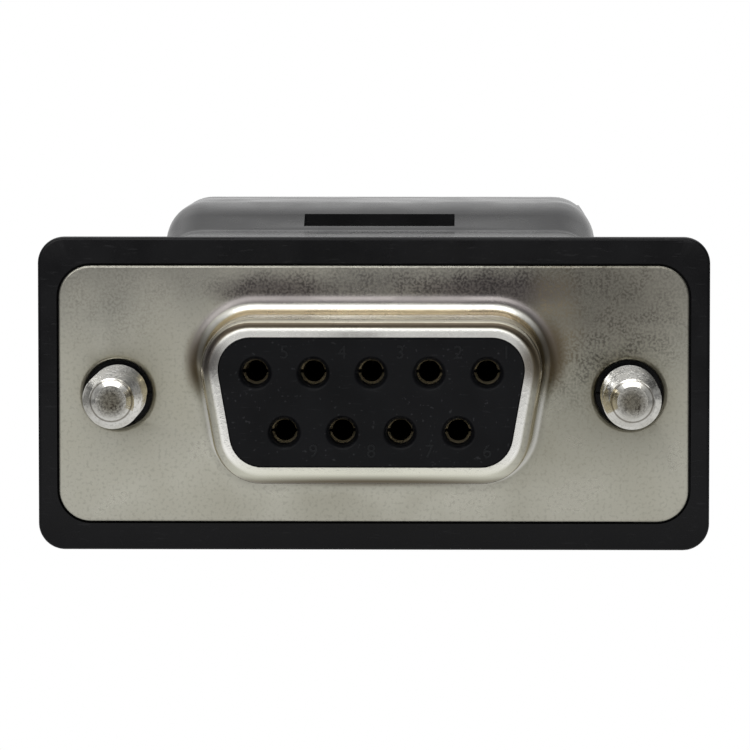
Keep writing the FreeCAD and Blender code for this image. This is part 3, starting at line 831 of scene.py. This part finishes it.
@dataclass
class Studio:
    """Pale floor, white backdrop, soft boxes and the camera at the photograph's view.

    The floor's distances are in millimetres. The room gives a brightness for each height in degrees, from
    the horizon in front over the top to the horizon behind.
    """

    frame_px: float = 750.0
    focal_px: float = 5115.0
    flange_px: Pair = (373.5, 393.9)
    azimuth: float = 1.1
    elevation: float = 4.05
    distance: float = 0.250
    sensor: float = 36.0
    clip_start: float = 0.01
    floor_size: float = 3.0
    floor_tone: float = 0.93
    floor_fade: Pair = (30.0, 120.0)
    floor_glow: float = 0.55
    pool_centre: Pair = (0.0, -50.0)
    pool_fade: Pair = (20.0, 90.0)
    pool_levels: Pair = (0.95, 0.22)
    room: tuple[Pair, ...] = (
        (0.0, 0.40), (10.0, 0.80), (24.0, 0.65), (32.0, 0.15), (50.0, 0.20), (62.0, 0.95),
        (110.0, 0.90), (130.0, 1.60), (148.0, 1.60), (160.0, 1.0),
    )
    side_from: Pair = (0.45, 0.85)
    side_level: float = 0.38
    ambient: float = 0.55
    lamps: list[Lamp] = field(default_factory=lambda: [
        Lamp("front_box", (-0.12, -0.42, 0.27), (0, 0, 0), (0.56, 0.20), 2.4),
        Lamp("overhead", (0.0, 0.022, 0.45), (0, 0.0, 0), (0.50, 0.30), 2.2),
    ])

    def build(self) -> None:
        """Sets up everything that isn't part of the object."""
        self.floor()
        self.backdrop()
        for lamp in self.lamps:
            lamp.build()
        self.camera()
        bpy.context.scene.view_settings.view_transform = "Standard"

    def floor(self) -> None:
        """Lays the pale floor: plain white to the camera, a painted pool of light to metal, paper to soft light.
        """
        mesh = bmesh.new()
        bmesh.ops.create_grid(mesh, x_segments=1, y_segments=1, size=self.floor_size / 2)
        bmesh.ops.translate(mesh, verts=mesh.verts[:], vec=(0, 0, CAD_BOX[0].z))
        data = bpy.data.meshes.new("floor")
        mesh.to_mesh(data)
        mesh.free()
        made = bpy.data.objects.new("floor", data)
        bpy.context.scene.collection.objects.link(made)
        material = bpy.data.materials.new("pale_floor")
        graph = Graph(material)
        path = graph.add("LightPath").outputs
        middle = [(low + high) / 2 / MM for low, high in zip(*CAD_BOX)]
        share = graph.ramp(graph.length(graph.place(centre=middle)), *self.floor_fade, (self.floor_glow, 1.0))
        share = graph.calc(share, path["Is Camera Ray"], "MAXIMUM")
        share = graph.calc(share, path["Is Glossy Ray"], "MAXIMUM")
        # A glowing pool of painted light on the floor, bright near the object and dim far off, seen only by metal.
        pool = graph.length(graph.place(centre=(*self.pool_centre, CAD_BOX[0].z / MM)))
        mirrored = graph.ramp(pool, *self.pool_fade, self.pool_levels)
        strength = graph.choose(path["Is Glossy Ray"], 1.0, mirrored)
        paper = graph.add("BsdfDiffuse", {"Color": (*[self.floor_tone] * 3, 1.0)})
        glow = graph.add("Emission", {"Color": (1.0, 1.0, 1.0, 1.0), "Strength": strength})
        mixed = graph.add("MixShader", {0: share, 1: paper.outputs[0], 2: glow.outputs[0]})
        graph.add("OutputMaterial", {"Surface": mixed.outputs[0]})
        data.materials.append(material)

    def backdrop(self) -> None:
        """Makes the room white where it is seen, even for soft light, and banded where metal mirrors it."""
        world = bpy.data.worlds.new("studio")
        bpy.context.scene.world = world
        graph = Graph(world)
        path = graph.add("LightPath").outputs
        parts = graph.split(graph.add("TexCoord").outputs["Generated"])
        ahead = graph.calc(parts["Y"], -1.0)
        rise = graph.calc(graph.calc(parts["Z"], ahead, "ARCTAN2"), 1 / math.pi)
        bands = graph.add("ValToRGB", {"Fac": rise})
        stops = bands.color_ramp.elements
        while len(stops) < len(self.room):
            stops.new(1.0)
        for stop, (degrees, level) in zip(stops, self.room):
            stop.position = degrees / 180
            stop.color = (level, level, level, 1.0)
        aside = graph.calc(parts["X"], 0.0, "ABSOLUTE")
        sides = graph.ramp(aside, *self.side_from, (1.0, self.side_level))
        wall = graph.calc(bands.outputs["Color"], sides)
        unseen = graph.choose(path["Is Glossy Ray"], self.ambient, wall)
        seen = graph.calc(path["Is Camera Ray"], path["Is Transmission Ray"], "MAXIMUM")
        strength = graph.choose(seen, unseen, 1.0)
        glow = graph.add("Background", {"Color": (1.0, 1.0, 1.0, 1.0), "Strength": strength})
        graph.add("OutputWorld", {"Surface": glow.outputs[0]})

    def camera(self) -> None:
        """Puts the camera where the photograph was taken from."""
        data = bpy.data.cameras.new("camera")
        data.sensor_width = self.sensor
        data.lens = self.focal_px / self.frame_px * self.sensor
        data.clip_start = self.clip_start
        made = bpy.data.objects.new("camera", data)
        turn, tilt = math.radians(self.azimuth), math.radians(self.elevation)
        back = Vector((math.sin(turn) * math.cos(tilt), -math.cos(turn) * math.cos(tilt), math.sin(tilt)))
        aim = (-back).to_track_quat("-Z", "Y")
        middle = self.frame_px / 2
        across = math.atan((self.flange_px[0] - middle) / self.focal_px)
        down = math.atan((self.flange_px[1] - middle) / self.focal_px)
        turned = aim.to_matrix().to_4x4() @ Matrix.Rotation(across, 4, "Y") @ Matrix.Rotation(down, 4, "X")
        made.matrix_world = Matrix.Translation(back * self.distance) @ turned
        bpy.context.scene.collection.objects.link(made)
        bpy.context.scene.camera = made


def main() -> None:
    """Builds the object and its studio, piece by piece."""
    logging.basicConfig(level=logging.INFO, format="%(name)s: %(message)s")
    for part in (Housing(), Connector(), Jackscrew("left"), Jackscrew("right"), Terminals(), Studio()):
        LOG.info("building %s", type(part).__name__)
        part.build()


if __name__ == "__main__":
    main()
